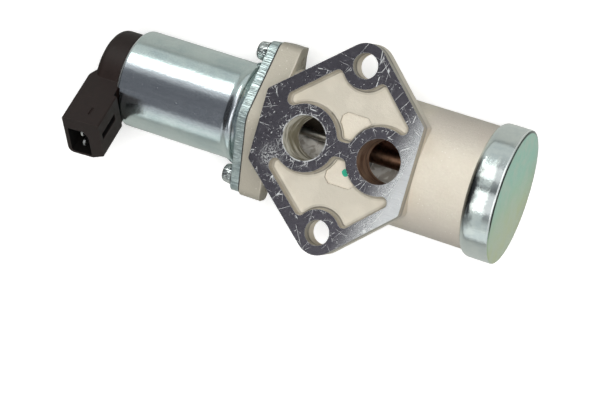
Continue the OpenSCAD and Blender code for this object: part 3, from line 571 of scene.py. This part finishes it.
def capped_zinc():
    """The cap's plating: silver on the skirt, green and yellow bands on its face, painted dark reflections
    on the skirt, and a painted highlight and dark line at its rounded edge.
    """
    look = zinc("zinc_cap", (0.70, 0.76, 0.75), (0.78, 0.83, 0.80), 0.11, 0.4, 0.3)
    x, y, z = (look.along(axis) for axis in "XYZ")
    on_face = look.step(x, CAP_FACE - 0.4, CAP_FACE - 0.1)
    drift = look.sum("MULTIPLY", look.noise(0.05, 3.0, 0.6), 16.0)
    rust = look.step(look.sum("ADD", look.sum("ADD", y, look.sum("MULTIPLY", z, 0.5)), drift), -22, 8)
    face = look.blend(rust, (0.58, 0.66, 0.38), (0.33, 0.70, 0.56))
    mist = look.step(look.noise(0.20, 4.0, 0.7), 0.40, 0.62)
    face = look.blend(look.sum("MULTIPLY", mist, 0.55), face, (0.58, 0.70, 0.58))
    skirt = look.skin.inputs["Base Color"].links[0].from_socket
    radius = from_line(look, y, z, 0.0, AXIS_Z)
    upper = look.step(y, -15, -8)
    past_skirt = look.sum("SUBTRACT", x, CAP_FACE - CAP_EDGE_R)
    turn_in = look.sum("SUBTRACT", past_skirt, look.sum("SUBTRACT", radius, CAP_R - CAP_EDGE_R))
    # Painted reflections at the rounded edge: a dark line and, beside it, a highlight
    painted_dark_edge_line = look.sum("MULTIPLY", look.step(turn_in, -0.25, -0.05), look.step(turn_in, 1.00, 0.70))
    painted_dark_edge_line = look.sum("MULTIPLY", look.sum("MULTIPLY", painted_dark_edge_line, upper), 0.93)
    painted_edge_highlight = look.sum("MULTIPLY", look.step(turn_in, -0.95, -0.80), look.step(turn_in, -0.30, -0.45))
    painted_edge_highlight = look.sum("MULTIPLY", painted_edge_highlight, look.sum("MULTIPLY", upper, 0.8))
    # Painted dark reflections: ragged near-black blotches on the skirt's start
    blotches = look.sum("MULTIPLY", look.noise(0.30, 3.0, 0.6), 5.0)
    painted_dark_lead = look.step(look.sum("ADD", x, blotches), CAP_FACE - 3.4, CAP_FACE - 6.0)
    painted_dark_lead = look.sum("MULTIPLY", look.sum("MULTIPLY", painted_dark_lead, upper), look.step(y, 13, 8))
    # Painted dark reflection: the skirt darker grey near its face end
    ragged = look.sum("MULTIPLY", look.noise(0.35, 3.0, 0.6), 3.0)
    shade = look.step(look.sum("ADD", x, ragged), CAP_FACE - 2.4, CAP_FACE - 1.0)
    shade = look.sum("MULTIPLY", shade, look.sum("MULTIPLY", look.step(y, -10, -7), look.step(y, 14, 9)))
    skirt = look.blend(look.sum("MULTIPLY", shade, 0.75), skirt, (0.24, 0.25, 0.26))
    base = look.blend(on_face, skirt, face)
    base = look.blend(look.sum("MULTIPLY", painted_dark_lead, 0.85), base, (0.06, 0.06, 0.06))
    base = look.blend(painted_edge_highlight, base, (0.95, 0.96, 0.95))
    base = look.blend(painted_dark_edge_line, base, (0.03, 0.03, 0.03))
    rough = look.skin.inputs["Roughness"].links[0].from_socket
    look.feed(look.skin.inputs["Roughness"], look.sum("ADD", rough, look.sum("MULTIPLY", painted_edge_highlight, 0.2)))
    look.feed(look.skin.inputs["Base Color"], base)
    return look.material


cast = cast_metal()
can = drawn_can()
cap = capped_zinc()
fastener = screw_zinc()
plate = sheared_plate()
plastic = moulded_plastic()
iron = turned_metal("soft_iron", (0.42, 0.42, 0.42), (0.54, 0.54, 0.53), 0.32)
steel = turned_metal("turned_steel", (0.52, 0.53, 0.54), (0.68, 0.69, 0.70), 0.24)
shaft_steel = turned_metal("ground_shaft", (0.86, 0.83, 0.78), (0.98, 0.96, 0.92), 0.26, 9.0)
bronze = turned_metal("dull_bronze", (0.30, 0.17, 0.11), (0.50, 0.30, 0.20), 0.34, 4.0)
bush = turned_metal("sintered_bronze", (0.50, 0.34, 0.16), (0.64, 0.46, 0.24), 0.42)
tin = turned_metal("tinned_blade", (0.66, 0.66, 0.64), (0.82, 0.82, 0.80), 0.26)
wire = turned_metal("drawn_wire", (0.36, 0.37, 0.38), (0.50, 0.51, 0.52), 0.28, 7.0)
fibre = soft_stuff("pressed_fibre", (0.02, 0.02, 0.02), (0.09, 0.085, 0.08), 0.8, 3.0, 0.08)
rubber = soft_stuff("seal_rubber", (0.012, 0.012, 0.012), (0.03, 0.03, 0.03), 0.5, 5.0, 0.01)
nylon = soft_stuff("bobbin_nylon", (0.62, 0.59, 0.48), (0.74, 0.71, 0.62), 0.45, 1.5, 0.02)
winding = wire_coil()

FINISHES = {
    "valve_body": cast,
    "end_cap": cap,
    "solenoid_can": can,
    "mounting_plate": plate,
    "plate_gasket": fibre,
    "connector_housing": plastic,
    "terminal_pins": tin,
    "housing_screws": fastener,
    "spring_washers": fastener,
    "plain_washers": fastener,
    "seat_insert": steel,
    "rear_guide": steel,
    "guide_tube": steel,
    "valve_disc": steel,
    "spring_seat": steel,
    "shaft_nut": steel,
    "front_bush": bush,
    "rear_bush": bush,
    "guide_sleeve": bronze,
    "valve_shaft": shaft_steel,
    "flux_washer": iron,
    "pole_piece": iron,
    "armature": iron,
    "cap_oring": rubber,
    "tube_oring": rubber,
    "housing_oring": rubber,
    "coil_bobbin": nylon,
    "coil_winding": winding,
    "return_spring": wire,
}
for name, material in FINISHES.items():
    mesh = nodes[name].data
    mesh.materials.clear()
    mesh.materials.append(material)


def merged_copy(name):
    """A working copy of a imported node's surface, its corners joined."""
    shape = bmesh.new()
    shape.from_mesh(nodes[name].data)
    bmesh.ops.remove_doubles(shape, verts=shape.verts, dist=0.005 * MM)
    return shape


def stands_for(shape, piece, name):
    """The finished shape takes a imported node's place, on the same body."""
    bmesh.ops.recalc_face_normals(shape, faces=shape.faces)
    mesh = bpy.data.meshes.new(piece)
    shape.to_mesh(mesh)
    shape.free()
    made = bpy.data.objects.new(piece, mesh)
    bpy.context.collection.objects.link(made)
    mesh.materials.append(FINISHES[name])
    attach(made, body_of(nodes[name])[0])
    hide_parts(name)
    return made


def can_with_neck():
    """The can's shell, plain between its bead and the mounting plate."""
    shape = merged_copy("solenoid_can")
    everything = shape.verts[:] + shape.edges[:] + shape.faces[:]
    start = (BEAD_X - HAIR) * MM
    cut = bmesh.ops.bisect_plane(
        shape, geom=everything, plane_co=(start, 0, 0), plane_no=(1, 0, 0), clear_outer=True
    )
    rims = [part for part in cut["geom_cut"] if isinstance(part, bmesh.types.BMEdge)]
    drawn = bmesh.ops.extrude_edge_only(shape, edges=rims)
    ends = [part for part in drawn["geom"] if isinstance(part, bmesh.types.BMVert)]
    bmesh.ops.translate(shape, verts=ends, vec=(PLATE_X * MM - start, 0, 0))
    end_rims = [
        part for part in drawn["geom"]
        if isinstance(part, bmesh.types.BMEdge) and part.verts[0] in ends and part.verts[1] in ends
    ]
    bmesh.ops.bridge_loops(shape, edges=end_rims)
    stands_for(shape, "can_shell", "solenoid_can")


def set_down(name, piece, was, now):
    """Screws or washers drawn onto the plate: the length between two marks is moved and stretched."""
    shape = merged_copy(name)
    for point in shape.verts:
        if point.co.x / MM < was[1] + HAIR:
            share = (point.co.x / MM - was[0]) / (was[1] - was[0])
            point.co.x = (now[0] + share * (now[1] - now[0])) * MM
    stands_for(shape, piece, name)


def return_coil():
    """The return spring, on a mesh of its own; the real spring shortens as the plunger opens the valve,
    which this script does not show.
    """
    coil = stands_for(merged_copy("return_spring"), "return_coil", "return_spring")
    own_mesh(coil)


can_with_neck()
return_coil()
spring_washer = span("spring_washers")
head = (span("housing_screws")[0], spring_washer[0])
set_down("housing_screws", "cheese_head_screws", head, (HEAD_END, UNDER_HEAD))
set_down("spring_washers", "split_washers", spring_washer, (UNDER_HEAD, WASHER_JOINT))
set_down("plain_washers", "flat_washers", span("plain_washers"), (WASHER_JOINT, PLATE_X))


def card(name, centre, aim, size, material):
    """A flat card of the given size that faces a point, both in metres."""
    mesh = bpy.data.meshes.new(name)
    shape = bmesh.new()
    bmesh.ops.create_grid(shape, x_segments=1, y_segments=1, size=0.5)
    shape.to_mesh(mesh)
    shape.free()
    made = bpy.data.objects.new(name, mesh)
    bpy.context.collection.objects.link(made)
    made.scale = (size[0], size[1], 1)
    made.location = centre
    away = Vector(centre) - Vector(aim)
    made.rotation_euler = away.to_track_quat("Z", "Y").to_euler()
    mesh.materials.append(material)
    return made


def glow(name, colour, strength):
    """A card's own light, even all over."""
    made = bpy.data.materials.new(name)
    made.use_nodes = True
    tree = made.node_tree
    tree.nodes.clear()
    light = tree.nodes.new("ShaderNodeEmission")
    light.inputs["Color"].default_value = (*colour, 1)
    light.inputs["Strength"].default_value = strength
    out = tree.nodes.new("ShaderNodeOutputMaterial")
    tree.links.new(light.outputs[0], out.inputs["Surface"])
    return made


def lamp(name, centre, aim, size, watts, colour, in_reflections=True, on_matt=True):
    """A soft rectangular lamp that faces a point."""
    data = bpy.data.lights.new(name, "AREA")
    data.shape = "RECTANGLE"
    data.size, data.size_y = size
    data.energy = watts
    data.color = colour
    made = bpy.data.objects.new(name, data)
    bpy.context.collection.objects.link(made)
    made.location = centre
    made.rotation_euler = (Vector(centre) - Vector(aim)).to_track_quat("Z", "Y").to_euler()
    made.visible_glossy = in_reflections
    made.visible_diffuse = on_matt
    made.visible_camera = False


def white_floor():
    """White to the camera but for the object's own shadow, and pale grey to the metal."""
    made = bpy.data.materials.new("white_table")
    made.use_nodes = True
    tree = made.node_tree
    tree.nodes.clear()
    add, link = tree.nodes.new, tree.links.new
    paper = add("ShaderNodeBsdfDiffuse")
    paper.inputs["Color"].default_value = (0.50, 0.52, 0.51, 1)
    seen = add("ShaderNodeBsdfDiffuse")
    seen.inputs["Color"].default_value = (0.8, 0.8, 0.8, 1)
    lift = add("ShaderNodeEmission")
    lift.inputs["Strength"].default_value = 0.5
    both = add("ShaderNodeAddShader")
    link(seen.outputs[0], both.inputs[0])
    link(lift.outputs[0], both.inputs[1])
    ray = add("ShaderNodeLightPath")
    pick = add("ShaderNodeMixShader")
    link(ray.outputs["Is Camera Ray"], pick.inputs[0])
    link(paper.outputs[0], pick.inputs[1])
    link(both.outputs[0], pick.inputs[2])
    out = add("ShaderNodeOutputMaterial")
    link(pick.outputs[0], out.inputs["Surface"])
    return made


low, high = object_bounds()
middle = (low + high) / 2
table_top = (middle.x, middle.y, low.z - 0.2 * MM)
card("table", table_top, (middle.x, middle.y, low.z - 1), (6, 6), white_floor())

lamp(
    "overhead", (0.28, 0.06, 0.92), (0, 0, AXIS_Z * MM), (0.6, 0.6), 10.5, (1.0, 0.985, 0.96),
    in_reflections=False,
)
lamp(
    "long_softbox", (-0.50, 0.62, 0.60), (-0.50, 0, AXIS_Z * MM), (0.6, 0.34), 2.0, (0.96, 1.0, 0.99),
    on_matt=False,
)


def only_reflected(made):
    """The card shows in polished metal and does nothing else."""
    made.visible_camera = False
    made.visible_diffuse = False
    made.visible_shadow = False
    made.visible_transmission = False


def overhead_card(name, centre, size, turn, colour, strength):
    """A level card over the valve."""
    made = card(name, centre, (centre[0], centre[1], 0), size, glow(name, colour, strength))
    made.rotation_euler.z += math.radians(turn)
    only_reflected(made)


def standing_card(name, centre, size, colour, strength):
    """An upright card that faces the valve."""
    only_reflected(card(name, centre, (0, 0, centre[2]), size, glow(name, colour, strength)))


overhead_card("dark_card", (-0.79, -0.42, 0.82), (0.86, 1.40), 0, (0.86, 0.92, 1.0), 0.17)
overhead_card("face_card", (-0.245, -0.04, 0.81), (0.23, 0.38), 0, (0.86, 0.88, 1.0), 0.10)
overhead_card("near_panel", (-0.024, -0.19, 0.47), (0.26, 0.34), -16.8, (0.98, 1.0, 0.99), 1.8)
overhead_card("side_panel", (0.02, 0.33, 0.47), (0.28, 0.30), 0, (0.98, 1.0, 0.99), 1.7)
overhead_card("edge_strip", (0.42, 0.05, 0.70), (0.16, 0.5), 0, (1.0, 1.0, 1.0), 2.5)
standing_card("far_wall", (-0.10, -0.75, 0.16), (0.7, 0.30), (0.95, 1.0, 1.0), 0.85)
standing_card("left_wall", (-0.80, -0.08, 0.32), (0.7, 0.64), (0.9, 0.95, 1.0), 0.05)
standing_card("right_wall", (0.80, 0, 0.19), (1.2, 0.36), (0.9, 0.95, 1.0), 0.05)


def studio():
    """Soft daylight: low on matt surfaces, a paler room in polished metal."""
    world = bpy.data.worlds.new("studio")
    world.use_nodes = True
    tree = world.node_tree
    sky = tree.nodes["Background"]
    sky.inputs["Color"].default_value = (0.92, 0.98, 0.98, 1)
    ray = tree.nodes.new("ShaderNodeLightPath")
    level = tree.nodes.new("ShaderNodeMapRange")
    tree.links.new(ray.outputs["Is Glossy Ray"], level.inputs["Value"])
    level.inputs["To Min"].default_value = 0.13
    level.inputs["To Max"].default_value = 0.62
    tree.links.new(level.outputs["Result"], sky.inputs["Strength"])
    return world


bpy.context.scene.world = studio()

camera_data = bpy.data.cameras.new("photo_camera")
camera_data.sensor_width = 36
camera_data.lens = PHOTO_LENS
camera_data.clip_start = 0.01
camera = bpy.data.objects.new("photo_camera", camera_data)
bpy.context.collection.objects.link(camera)
camera.matrix_world = PHOTO_CAMERA
bpy.context.scene.camera = camera

bpy.context.scene.view_settings.view_transform = "Standard"
